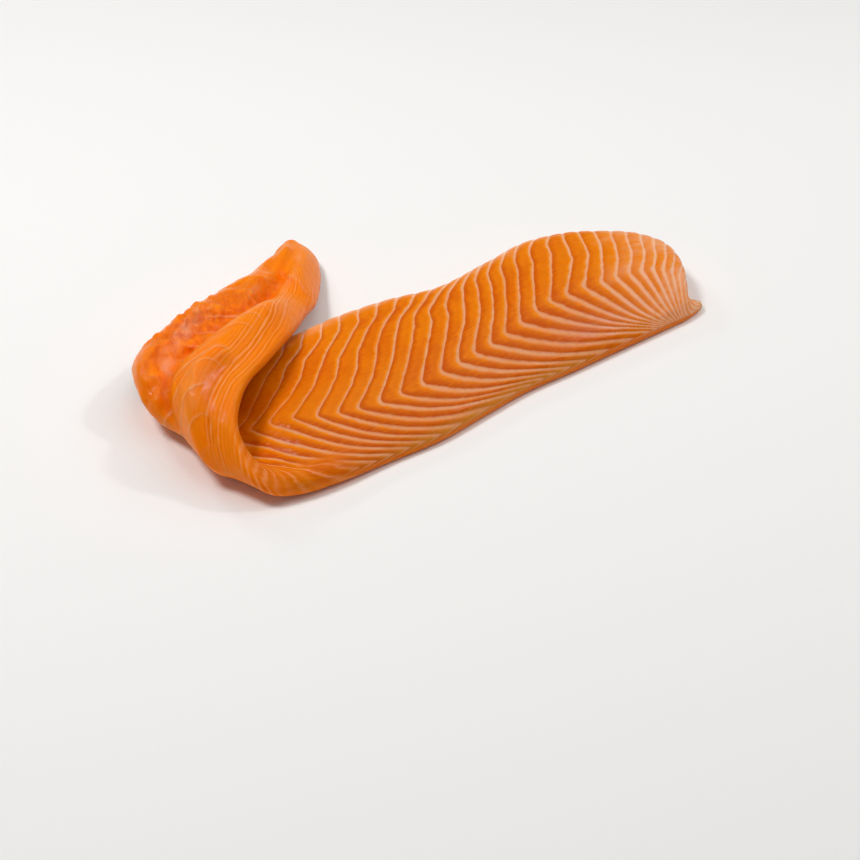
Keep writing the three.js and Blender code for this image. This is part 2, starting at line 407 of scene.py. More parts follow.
@dataclass(frozen=True)
class FatLines:
    """The pale lines of fat and membrane between the flakes: chevrons with their points to the tail.

    On the flesh side each line has a point, an arm that sweeps forward in a long curve to the belly edge, and
    an arm that leans forward to the back edge, steeper past a bend. The skinned side of the tail shows the
    ends of the same lines, which run along the belly edge, turn and make a shallow W.
    """

    counted: SizeTable = SizeTable((
        (0, -6), (24, 0), (33.3, 2), (44, 4), (60, 6), (82, 8), (104.5, 10), (128.5, 12), (149.5, 14),
        (171.5, 16), (198.5, 18), (222.5, 20), (243, 22), (264, 24), (285, 26), (504, 47),
    ), Course.SWEEPING)
    point_share: SizeTable = SizeTable((
        (20, 0.41), (33, 0.4), (44, 0.385), (60, 0.365), (82, 0.375), (93, 0.38), (105, 0.36),
        (128, 0.32), (149, 0.29), (170, 0.275), (200, 0.26), (222, 0.275), (243, 0.33), (254, 0.38),
        (264, 0.42), (290, 0.45),
    ))
    point_round: float = 0.02
    bend_round: float = 0.014
    belly_reach: SizeTable = SizeTable((
        (20, 3), (28, 4.5), (44, 8), (60, 12.5), (80, 20), (95, 25), (117, 33), (128, 32), (140, 28),
        (150, 26.5), (171, 28), (185, 31), (212, 36), (228, 28), (243, 23), (264, 22), (290, 22),
    ))
    edge_share: float = 0.03
    back_shares: tuple[float, ...] = (0.4, 0.5, 0.6, 0.7, 0.8, 0.9)
    back_lean: SizeTable = SizeTable((
        (20, 0, 1, 2, 2.5, 3, 4), (40, 1, 3, 4.5, 5, 5.5, 6.5), (51, 1.5, 5.5, 7.5, 9, 9.5, 11),
        (60, 3, 7, 10.5, 13, 14, 15), (82, 3, 11.5, 18, 21, 23, 26), (93, 1.5, 9.5, 17, 23, 26, 31),
        (104.5, 1.5, 8.5, 14.5, 22, 26.5, 35), (129, 6, 13, 19, 25, 29, 39),
        (149.5, 8, 16, 22, 27.5, 32, 42), (171, 11, 19, 25, 29, 36, 48),
        (198.5, 15, 24.5, 32.5, 38.5, 50, 58), (222.5, 17, 26, 34, 44, 57, 64),
        (243, 10, 22.5, 30, 43, 56, 62), (264, 1, 17, 29, 37, 53, 60), (290, 0, 12, 25, 36, 50, 58),
    ))
    width: SizeTable = SizeTable((
        (0, 1.0), (30, 1.3), (130, 1.2), (190, 1.0), (235, 0.8), (280, 0.6), (504, 0.5),
    ))
    back_arm_width: float = 0.56
    belly_arm_width: float = 1.25
    arm_blend_share: float = 0.12
    skinned_width: float = 0.5
    skinned_shares: tuple[float, ...] = (0, 0.08, 0.17, 0.3, 0.43, 0.55, 0.7, 1)
    skinned_lean: SizeTable = SizeTable((
        (345, 44, 12, 0, 8, 20, 28, 40, 60), (380, 44, 12, 2, 4, 16, 26, 40, 60),
        (420, 36, 20, 10, 0, 4, 14, 30, 60), (460, 45, 36, 26, 14, 4, 0, 10, 60),
        (504, 60, 50, 40, 26, 14, 4, 0, 60),
    ))
    skinned_round: float = 0.04
    blur_weights: Rows = ((-1, 0.25), (0, 0.5), (1, 0.25))
    first_apex: float = -40
    far_apex: float = 700
    apex_steps: int = 900
    sheet_end: float = 504
    far_spacing: float = 10.4
    streak_spacing: float = 2.3
    rim_spacing: float = 4.2
    streak_drift: SizeTable = SizeTable((
        (236, 33), (262, 30), (290, 21), (310, 13), (330, 8), (350, 6), (380, 8), (410, 12), (440, 16),
        (504, 54),
    ))

    def lean(self, apex: np.ndarray, share: float) -> np.ndarray:
        """How far a line lies forward of its own point on the flesh side.

        Args:
            apex: The stations of the lines' points.
            share: One share across the sheet.

        Returns:
            The distance along the stations.
        """
        point = self.point_share.at(apex)
        arm = self.back_lean.at(apex)
        knots = np.array((0.0, *self.back_shares, 1.0))
        arm = np.concatenate([arm[:, :1] * 0, arm, 2 * arm[:, -1:] - arm[:, -2:-1]], axis=1)
        upper = min(int(np.searchsorted(knots, share, side="right")), len(knots) - 1)
        clear = knots[upper - 1] > point + self.point_round
        start = np.where(clear, knots[upper - 1], point)
        start_lean = np.where(clear, arm[:, upper - 1], 0.0)
        climb = (arm[:, upper] - start_lean) / np.maximum(knots[upper] - start, self.point_round)
        back = np.where(share > point, start_lean + climb * (share - start), 0.0)
        turn = point - self.point_round + self.edge_share
        belly = self.belly_reach.at(apex) * np.log(turn / (share + self.edge_share))
        return back + np.maximum(0, belly)

    def skinned_lean_at(self, apex: np.ndarray, share: float) -> np.ndarray:
        """How far a line lies forward of its own turn on the skinned side, with the arguments of lean."""
        weights = [np.interp(share, self.skinned_shares, row) for row in np.eye(len(self.skinned_shares))]
        return self.skinned_lean.at(apex) @ np.array(weights)

    def width_at(self, station: np.ndarray, share: np.ndarray, side: Side) -> np.ndarray:
        """Half of the lines' width, which is greater on the arms to the belly edge.

        Args:
            station: Stations along the sheet.
            share: Shares across it, in an array of the same shape.
            side: The side of the sheet.

        Returns:
            The half widths.
        """
        if side is Side.SKINNED:
            return np.full(share.shape, self.skinned_width)
        on_belly_arm = clamp01((self.point_share.at(station) - share) / self.arm_blend_share + 0.5)
        arm = self.back_arm_width + (self.belly_arm_width - self.back_arm_width) * on_belly_arm
        return self.width.at(station) * arm

    def count(self, station: np.ndarray, share: np.ndarray, side: Side) -> np.ndarray:
        """Counts the lines from the thick end: each line is where the count is a whole number.

        Args:
            station: Stations, one row of the grid for each.
            share: Shares, one column of the grid for each.
            side: The side of the sheet.

        Returns:
            The count over the grid.
        """
        apexes = np.linspace(self.first_apex, self.far_apex, self.apex_steps)
        beyond = apexes - np.clip(apexes, 0, self.sheet_end)
        counts = self.counted.at(apexes) + beyond / self.far_spacing
        lean = self.lean if side is Side.FLESH else self.skinned_lean_at
        blur = self.bend_round if side is Side.FLESH else self.skinned_round
        grid = np.zeros((len(station), len(share)))
        for j, middle in enumerate(share):
            for step, weight in self.blur_weights:
                places = apexes - lean(apexes, float(clamp01(middle + step * blur)))
                grid[:, j] += weight * np.interp(station, np.maximum.accumulate(places), counts)
        return grid

    def streak_count(self, station: np.ndarray, across: np.ndarray, side: Side) -> np.ndarray:
        """Counts the streaks along the belly edge, which run on around the fold's rim to the flesh side.

        Args:
            station: Stations along the sheet.
            across: Distances from the belly edge, in an array of the same shape.
            side: The side of the sheet.

        Returns:
            The count, with a streak where it is a whole number.
        """
        spacing = self.streak_spacing if side is Side.SKINNED else -self.rim_spacing
        return across / spacing - self.streak_drift.at(station) / self.streak_spacing


@dataclass(frozen=True)
class FleshZones:
    """Where one side of the flesh has film with painted sheen, or is streaked, lined, lumpy or fatty, as
    strengths from 0 to 1.

    A pair of stations or shares, or of distances from the belly edge for the band of streaks, says where a
    zone is nothing and where it is full. Each patch of film, partly a painted highlight, has its middle
    station, its reach along the stations, its middle share, its reach in shares, and its strength.
    """

    sheet: FoldedSheet
    station: np.ndarray
    share: np.ndarray
    side: Side
    # Film along the back edge and over the thick end is partly painted sheen, and the film patches on the
    # tail are partly painted highlights.
    back_film: Span = (0.78, 1)
    head_film: Span = (80, 0)
    head_film_strength: float = 0.95
    skinned_back_film_strength: float = 0.5
    film_patches: Rows = (
        (326, 34, 0.26, 0.12, 0.55), (352, 55, 0.68, 0.14, 0.8), (330, 26, 0.63, 0.1, 0.8),
        (412, 24, 0.5, 0.1, 0.6), (448, 30, 0.56, 0.07, 0.3), (300, 22, 0.85, 0.2, 0.6),
        (438, 10, 0.3, 0.07, 0.6), (292, 26, 0.1, 0.12, 0.5),
    )
    rim_stations: Span = (236, 252)
    rim_shares: Span = (0.13, 0.08)
    rim_streak_strength: float = 0.9
    streak_band: Span = (24, 15)
    peak_from: float = 425
    peak_fade: float = 15
    peak_shares: Span = (0.55, 0.3)
    peak_streak_strength: float = 0.4
    lip_stations: Span = (222, 252)
    lip_shares: Span = (0.28, 0.42)
    lost_under_lip: float = 0.5
    hump_shares: Span = (0.16, 0.24)
    last_lined_share: float = 0.66
    further_at_fold: float = 0.44
    fold_stations: Span = (312, 282)
    lined_fade_share: float = 0.15
    lined_stations: Span = (410, 375)
    least_lined: float = 0.15
    flat_belly_edge: Span = (0, 0.03)
    flat_back_edge: Span = (1, 0.92)
    lumpy_middle: float = 365
    lumpy_reach: float = 95
    lumpy_middle_past_valley: float = 0.28
    lumpy_reach_past_valley: float = 0.58
    deep_tuck: float = 2.0
    nub: Span = (9, 0)
    fat_edge: Span = (0.045, 0)
    fat_edge_from: Span = (70, 110)
    fat_edge_to: Span = (250, 190)
    fat_edge_strength: float = 0.7

    def film(self) -> np.ndarray:
        """Pale film with painted sheen: over the thick end, along the back edge and in patches on the folded
        tail.

        Returns:
            The strength of the film and of the painted sheen.
        """
        at_back = ramp(self.share, *self.back_film)
        if self.side is Side.FLESH:
            return np.maximum(at_back, self.head_film_strength * ramp(self.station, *self.head_film))
        before_peak = ramp(self.station, self.peak_from, self.peak_from - self.peak_fade)
        film = self.skinned_back_film_strength * at_back * before_peak
        for middle, reach, middle_share, reach_share, strength in self.film_patches:
            patch = bell((self.station - middle) / reach) * bell((self.share - middle_share) / reach_share)
            film = np.maximum(film, strength * patch)
        return film

    def at_rim(self) -> np.ndarray:
        """How near the flesh side is to the rim of the fold, where streaks take over from the lines."""
        return ramp(self.station, *self.rim_stations) * ramp(self.share, *self.rim_shares)

    def streaked(self) -> np.ndarray:
        """Streaks: along the belly edge of the tail's skinned side, over its tip, and around the fold's rim.

        Returns:
            The strength of the streaks.
        """
        if self.side is Side.FLESH:
            return self.rim_streak_strength * self.at_rim()
        band = ramp(self.share * self.sheet.width(self.station), *self.streak_band)
        on_peak = ramp(self.station, self.peak_from, self.peak_from + self.peak_fade)
        on_peak = on_peak * ramp(self.share, *self.peak_shares)
        return np.maximum(band, self.peak_streak_strength * on_peak)

    def lined(self) -> np.ndarray:
        """Chevron lines: all over the flesh side, and on the hump of the tail's other side.

        Returns:
            The strength of the lines.
        """
        if self.side is Side.FLESH:
            under_lip = ramp(self.station, *self.lip_stations) * ramp(self.share, *self.lip_shares)
            return (1 - self.at_rim()) * (1 - self.lost_under_lip * under_lip)
        last_share = self.last_lined_share + self.further_at_fold * ramp(self.station, *self.fold_stations)
        before_last = clamp01((last_share - self.share) / self.lined_fade_share)
        along = self.least_lined + (1 - self.least_lined) * ramp(self.station, *self.lined_stations)
        return before_last * ramp(self.share, *self.hump_shares) * along

    def flaked(self) -> np.ndarray:
        """How far the flakes' relief shows: with the lines of the flesh side, away from its edges."""
        edges = ramp(self.share, *self.flat_belly_edge) * ramp(self.share, *self.flat_back_edge)
        return edges * self.lined() * (1 - self.side.value)

    def lumpy(self) -> np.ndarray:
        """Lumps: on the tail's skinned side, between its valley and its back edge.

        Returns:
            The strength of the lumps.
        """
        past_valley = self.sheet.past_valley(self.station, self.share)
        across = bell((past_valley - self.lumpy_middle_past_valley) / self.lumpy_reach_past_valley)
        return across * bell((self.station - self.lumpy_middle) / self.lumpy_reach) * self.side.value

    def sunken(self) -> np.ndarray:
        """Painted shade in the creases of the tail's skinned side, as strong as its tucks are deep."""
        return clamp01(-self.sheet.tucked(self.station, self.share) / self.deep_tuck) * self.side.value

    def fatty(self) -> np.ndarray:
        """Yellowish fat: thin along the belly edge of the body, and at the corner of the thick end.

        Returns:
            The strength of the fat.
        """
        nub = ramp(self.station, *self.nub)
        along = ramp(self.station, *self.fat_edge_from) * ramp(self.station, *self.fat_edge_to)
        edge = self.fat_edge_strength * along * ramp(self.share, *self.fat_edge) * (1 - self.side.value)
        return np.maximum(nub, edge)


@dataclass(frozen=True)
class Layer:
    """One tone laid over the ones before it, where every mask that it names is strong."""

    tone: str
    amount: float
    masks: tuple[str, ...]


@dataclass(frozen=True)
class RawSalmonFlesh:
    """Raw farmed salmon, skinned and trimmed: soft, wet muscle in flakes, with pale fat between them.

    Light goes several millimetres into the muscle and comes out redder, so shadows are warm and thin edges
    glow. The fat scatters it at once, so the lines are paler and pinker than the muscle. A film of water
    gives the whole a sharp, clear sheen over a duller one. Muscle fibres are far thinner than 0.8 mm and
    don't show one by one, so the grain is drawn in bundles of that width.

    A pair of numbers is a range: of a noise's value, of a count's fraction, or, for the lines, of how many
    of their half widths a point is away.
    """

    muscle: str = "#e06c00"
    # The deep tone also paints shade beside the lines. The golden tone also paints light beside them and
    # under the film's painted sheen.
    deep_muscle: str = "#c94f00"
    golden_muscle: str = "#f48c04"
    skinned_muscle: str = "#ff7f00"
    # Painted shade for the creases between lumps, the tucks and the wrinkles.
    crease: str = "#dd5e00"
    fat: str = "#eaa676"
    skinned_fat: str = "#f8ac74"
    # Film tone, which also paints sheen and highlights.
    film: str = "#fac3a3"
    belly_fat: str = "#dd9a3c"
    attributes: tuple[str, ...] = (
        "line_count", "line_crowding", "line_width", "streak_count", "station", "across", "skinned",
        "lumpy", "crease", "sunken", "filmy", "streaked", "lined", "fatty",
    )
    side_gap: float = 60.0
    patch_size: float = 24.0
    mottle_size: float = 5.0
    waver_size: float = 9.0
    wrinkle_size: float = 2.8
    fibre_width: float = 0.8
    fibre_length: float = 7.0
    fibre_turn_deg: float = 25.0
    waver: float = 0.14
    widest_line_share: float = 0.2
    usual_mottle: Span = (0.3, 0.7)
    width_swing: Span = (0.7, 1.3)
    line_behind: Span = (0.4, 2.3)
    line_ahead: Span = (0.25, 1.0)
    # Reaches of the painted shade ahead of each line and of the golden, partly painted light behind it.
    shade_ahead: Span = (0.7, 6.0)
    gold_behind: Span = (1.2, 5.0)
    faintest_by_side: Span = (0.72, -0.1)
    line_break: Span = (0.3, 0.55)
    left_of_line: Span = (0.65, 1.0)
    streak_waver: float = 1.6
    streak_length: float = 26.0
    streak_stray_width: float = 4.0
    streak_core: Span = (0.02, 0.22)
    streak_gap: Span = (0.25, 0.5)
    streak_luck: Span = (0.1, 0.8)
    streak_strength: Span = (0.1, 0.75)
    film_raggedness: float = 1.2
    film_edge: Span = (0.9, 1.6)
    tear: Span = (0.35, 0.6)
    torn_strength: Span = (0.35, 1.0)
    thin_patch: Span = (0.35, 0.65)
    bright_fibre: Span = (0.5, 0.72)
    dark_fibre: Span = (0.28, 0.5)
    deep_wrinkle: Span = (0.4, 0.56)
    grain_strength: float = 0.3
    fibre_height: float = 0.3
    wrinkle_height: float = 1.1
    wrinkle_strength: Span = (0.3, 1.0)
    mottle_in_ripples: float = 1.4
    roughness: Span = (0.3, 0.5)
    water_cover: Span = (0.25, 0.6)
    light_depth: float = 3.0

    def layers(self) -> tuple[Layer, ...]:
        """Lists the tones from the bottom up.

        Returns:
            The layers, over the plain muscle.
        """
        return (
            Layer(self.skinned_muscle, 1.0, ("skinned",)),
            # Golden muscle on the tail's side of each line: partly its own tone, partly painted light on the
            # flake's lit side.
            Layer(self.golden_muscle, 0.8, ("gold", "flesh_side", "lined")),
            Layer(self.golden_muscle, 0.4, ("thin",)),
            # Deeper muscle on the head's side of each line: partly its own tone, partly painted shade on the
            # flake's far side.
            Layer(self.deep_muscle, 0.85, ("shade", "flesh_side", "lined")),
            # Painted shade beside the lines of the tail's skinned side.
            Layer(self.deep_muscle, 0.5, ("shade", "skinned", "lined", "own_strength")),
            Layer(self.golden_muscle, 0.3, ("bright_fibre",)),
            Layer(self.deep_muscle, 0.18, ("dark_fibre",)),
            # Golden muscle under the film of the flesh side: partly a brighter tone, partly painted light
            # where the sheen is painted.
            Layer(self.golden_muscle, 1.0, ("filmy", "flesh_side")),
            Layer(self.deep_muscle, 0.5, ("streak_gap", "streaked", "streak_strength")),
            Layer(self.belly_fat, 1.0, ("fatty",)),
            # Painted shade in the creases between lumps, in the tail's tucks and in the wrinkles of the
            # lumps.
            Layer(self.crease, 0.6, ("crease",)),
            Layer(self.crease, 0.6, ("sunken", "torn")),
            Layer(self.crease, 0.2, ("wrinkled", "lumpy")),
            Layer(self.skinned_fat, 0.75, ("streak", "streaked", "streak_strength")),
            Layer(self.fat, 0.95, ("line", "unbroken", "lined", "own_strength", "flesh_side")),
            Layer(self.skinned_fat, 0.95, ("line", "unbroken", "lined", "own_strength", "skinned")),
            # Film tone over the lines in the film zones, partly painted sheen.
            Layer(self.film, 0.85, ("line", "filmy", "flesh_side")),
            # Ragged film: partly painted sheen at the head and back edge, and partly painted highlights in
            # the tail's patches.
            Layer(self.film, 0.6, ("film", "torn", "flesh_side")),
            Layer(self.film, 0.4, ("film", "torn", "skinned")),
        )

    def noises(self, node: MakeNode, given: Masks) -> Masks:
        """Adds the noises that the marks share, laid out along and across the sheet.

        Args:
            node: Adds a node to the material.
            given: The mesh's attributes by name.

        Returns:
            The noises by name, and the spot that they are read at.
        """
        other_side = node("ShaderNodeMath", (given["skinned"], self.side_gap), operation="MULTIPLY")
        spot = node("ShaderNodeCombineXYZ", (given["station"], given["across"], other_side))
        sizes = {"patches": (self.patch_size, 4.0), "mottle": (self.mottle_size, 3.0),
                 "wavering": (self.waver_size, 2.0), "wrinkles": (self.wrinkle_size, 3.0)}
        noise = {name: node("ShaderNodeTexNoise", {"Vector": spot, "Scale": 1 / size, "Detail": detail})
                 for name, (size, detail) in sizes.items()}
        along_fibres = node("ShaderNodeMapping", {
            "Vector": spot,
            "Rotation": (0, 0, math.radians(self.fibre_turn_deg)),
            "Scale": (1 / self.fibre_length, 1 / self.fibre_width, 1.0),
        })
        fibres = node("ShaderNodeTexNoise", {"Vector": along_fibres, "Scale": 1.0, "Detail": 1.5})
        return {**noise, "fibres": fibres, "spot": spot}

    def line_masks(self, node: MakeNode, given: Masks) -> Masks:
        """Adds the fat lines: sharp on the head's side, where the muscle is deeper and painted shade lies,
        and soft on the tail's.

        Args:
            node: Adds a node to the material.
            given: The mesh's attributes and the noises by name.

        Returns:
            The masks of the lines, of the deeper muscle with painted shade ahead of them, and of the golden
            muscle with painted light behind them.
        """
        off = node("ShaderNodeMath", (given["wavering"], 0.5), operation="SUBTRACT")
        count = node("ShaderNodeMath", (off, self.waver, given["line_count"]), operation="MULTIPLY_ADD")
        whole = node("ShaderNodeMath", (count,), operation="FRACT")
        number = node("ShaderNodeMath", (count,), operation="ROUND")
        own = node("ShaderNodeTexWhiteNoise", {"W": number}, noise_dimensions="1D").outputs["Value"]
        broad = node("ShaderNodeMath", (given["line_crowding"], given["line_width"]), operation="MULTIPLY")
        swing = node("ShaderNodeMapRange", (given["mottle"], *self.usual_mottle, *self.width_swing))
        uneven = node("ShaderNodeMath", (broad, swing), operation="MULTIPLY")
        width = node("ShaderNodeMath", (uneven, self.widest_line_share), operation="MINIMUM")
        behind = node("ShaderNodeMath", (whole, width), operation="DIVIDE")
        left = node("ShaderNodeMath", (1.0, whole), operation="SUBTRACT")
        ahead = node("ShaderNodeMath", (left, width), operation="DIVIDE")
        line_behind = node("ShaderNodeMapRange", (behind, *self.line_behind, *FALLING), **SOFT)
        line_ahead = node("ShaderNodeMapRange", (ahead, *self.line_ahead, *FALLING), **SOFT)
        faintest = node("ShaderNodeMapRange", (given["skinned"], *RISING, *self.faintest_by_side))
        return {
            "line": node("ShaderNodeMath", (line_behind, line_ahead), operation="MAXIMUM"),
            # Painted shade ahead of each line, and golden muscle with painted light behind it.
            "shade": node("ShaderNodeMapRange", (ahead, *self.shade_ahead, *FALLING), **SOFT),
            "gold": node("ShaderNodeMapRange", (behind, *self.gold_behind, *FALLING), **SOFT),
            "own_strength": node("ShaderNodeMapRange", (own, *RISING, faintest, 1.0)),
            "unbroken": node("ShaderNodeMapRange", (given["mottle"], *self.line_break, *self.left_of_line)),
        }

    def streak_masks(self, node: MakeNode, given: Masks) -> Masks:
        """Adds the fine streaks that run along the tail's belly edge.

        Args:
            node: Adds a node to the material.
            given: The mesh's attributes and the noises by name.

        Returns:
            The masks of the streaks and of the gaps between them.
        """
        scale = (1 / self.streak_length, 1 / self.streak_stray_width, 1.0)
        drawn_out = node("ShaderNodeMapping", {"Vector": given["spot"], "Scale": scale})
        stray = node("ShaderNodeTexNoise", {"Vector": drawn_out, "Scale": 1.0, "Detail": 2.0})
        count = node("ShaderNodeMath", (stray, self.streak_waver, given["streak_count"]),
                     operation="MULTIPLY_ADD")
        number = node("ShaderNodeMath", (count,), operation="ROUND")
        own = node("ShaderNodeTexWhiteNoise", {"W": number}, noise_dimensions="1D").outputs["Value"]
        off = node("ShaderNodeMath", (count, 0.5), operation="PINGPONG")
        return {
            "streak": node("ShaderNodeMapRange", (off, *self.streak_core, *FALLING), **SOFT),
            "streak_gap": node("ShaderNodeMapRange", (off, *self.streak_gap, *RISING), **SOFT),
            "streak_strength": node("ShaderNodeMapRange", (own, *self.streak_luck, *self.streak_strength)),
        }

    def film_masks(self, node: MakeNode, given: Masks) -> Masks:
        """Adds the ragged film with its painted sheen, the patches and fibres of the muscle, and its
        wrinkles, whose low ground gets painted shade.

        Args:
            node: Adds a node to the material.
            given: The mesh's attributes and the noises by name.

        Returns:
            The masks by name.
        """
        ragged = node("ShaderNodeMath", (given["patches"], self.film_raggedness, given["filmy"]),
                      operation="MULTIPLY_ADD")
        ranges = {
            "film": (ragged, self.film_edge, RISING),
            "torn": (given["mottle"], self.tear, self.torn_strength),
            "thin": (given["patches"], self.thin_patch, RISING),
            "bright_fibre": (given["fibres"], self.bright_fibre, RISING),
            "dark_fibre": (given["fibres"], self.dark_fibre, FALLING),
            # Low ground of the wrinkles, where painted shade goes.
            "wrinkled": (given["wrinkles"], self.deep_wrinkle, FALLING),
        }
        return {name: node("ShaderNodeMapRange", (source, *reach, *strength), **SOFT)
                for name, (source, reach, strength) in ranges.items()}

    def wet_normal(self, node: MakeNode, given: Masks) -> bpy.types.Node:
        """Adds the bump of the fibres and, over it, of the wrinkles, which are deepest on lumps and on the
        film with its painted sheen.

        Args:
            node: Adds a node to the material.
            given: The noises and all the masks by name.

        Returns:
            The node whose output is the bumped normal.
        """
        grain = node("ShaderNodeBump", {
            "Strength": self.grain_strength, "Distance": self.fibre_height * MM, "Height": given["fibres"]})
        loose = node("ShaderNodeMath", (given["lumpy"], given["film"]), operation="MAXIMUM")
        strength = node("ShaderNodeMapRange", (loose, *RISING, *self.wrinkle_strength))
        ripples = node("ShaderNodeMath", (given["mottle"], self.mottle_in_ripples, given["wrinkles"]),
                       operation="MULTIPLY_ADD")
        return node("ShaderNodeBump", {
            "Strength": strength, "Distance": self.wrinkle_height * MM, "Height": ripples, "Normal": grain})

    def material(self) -> bpy.types.Material:
        """Builds the procedural material.

        Returns:
            The material, which reads the attributes that the fillet's mesh carries.
        """
        material = bpy.data.materials.new("raw_salmon_flesh")
        material.use_nodes = True
        material.node_tree.nodes.clear()
        node = partial(add_node, material.node_tree)
        given = {name: node("ShaderNodeAttribute", attribute_name=name).outputs["Fac"]
                 for name in self.attributes}
        given["flesh_side"] = node("ShaderNodeMath", (1.0, given["skinned"]), operation="SUBTRACT")
        for marks in (self.noises, self.line_masks, self.streak_masks, self.film_masks):
            given |= marks(node, given)
        colour = linear_colour(self.muscle)
        for layer in self.layers():
            cover = layer.amount
            for name in layer.masks:
                cover = node("ShaderNodeMath", (given[name], cover), operation="MULTIPLY")
            colour = node("ShaderNodeMix", (cover, colour, linear_colour(layer.tone)), data_type="RGBA")
        wet = self.wet_normal(node, given)
        # Water fills the flesh's own roughness, so the muscle is a dull, deep body under a clear wet coat.
        surface = node("ShaderNodeBsdfPrincipled", {
            "Base Color": colour,
            "Roughness": node("ShaderNodeMapRange", (given["mottle"], *self.usual_mottle, *self.roughness)),
            "IOR": 1.38,
            "Specular IOR Level": 0.05,
            "Subsurface Weight": 0.45,
            "Subsurface Radius": (1.0, 0.35, 0.12),
            "Subsurface Scale": self.light_depth * MM,
            "Coat Weight": node("ShaderNodeMapRange", (given["lumpy"], *RISING, *self.water_cover)),
            "Coat Roughness": 0.06,
            "Coat IOR": 1.33,
            "Coat Normal": wet,
            "Normal": wet,
        })
        node("ShaderNodeOutputMaterial", {"Surface": surface})
        return material


